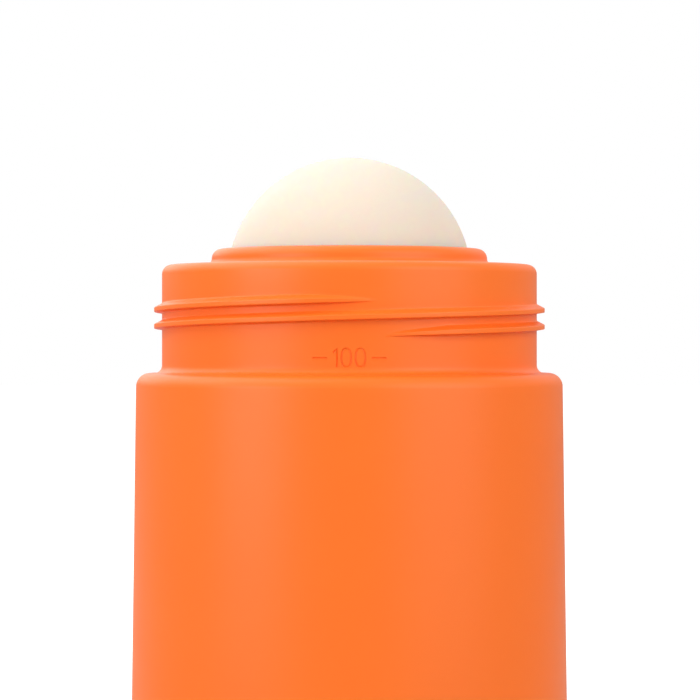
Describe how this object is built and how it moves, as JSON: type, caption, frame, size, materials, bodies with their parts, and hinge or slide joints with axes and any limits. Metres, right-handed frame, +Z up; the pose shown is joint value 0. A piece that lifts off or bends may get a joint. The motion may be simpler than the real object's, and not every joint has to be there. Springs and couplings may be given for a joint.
{
  "type": "refillable roll-on applicator",
  "caption": "Round refillable roll-on applicator for lotion: a ball held in a collar on a threaded neck, over a drafted container closed by a screw base.",
  "frame": {"origin": "middle of the underside, in the plane of the ring that the container stands on", "axes": "+Z up along the container's axis to the top of the ball, -Y to the front that the picture shows"},
  "size_m": [0.0516, 0.0516, 0.0917],
  "materials": {
    "orange_plastic": "satin moulded",
    "ivory_plastic": "smooth, soft gloss",
    "natural_plastic": "plain moulded",
    "soft_rubber": "soft"
  },
  "bodies": {
    "bottle": {"body_shell": "orange_plastic", "ball_seat": "natural_plastic"},
    "ball": {"roller_ball": "ivory_plastic"},
    "base_gasket": {"base_seal": "soft_rubber"},
    "base": {"refill_base": "orange_plastic"}
  },
  "joints": [
    {"name": "ball_roll", "type": "hinge", "parent": "bottle", "child": "ball", "pos_m": [0, 0, 0.07737], "axis": [1, 0, 0], "continuous": true},
    {"name": "base_drop", "type": "slide", "parent": "bottle", "child": "base_gasket", "axis": [0, 0, -1], "range_m": [0, 0.006]},
    {"name": "base_turn", "type": "hinge", "parent": "base_gasket", "child": "base", "pos_m": [0, 0, 0], "axis": [0, 0, -1], "range_deg": [0, 360]}
  ],
  "couplings": [
    {"joint": "base_drop", "follows": "base_turn", "m_per_rad": 0.00095493}
  ]
}
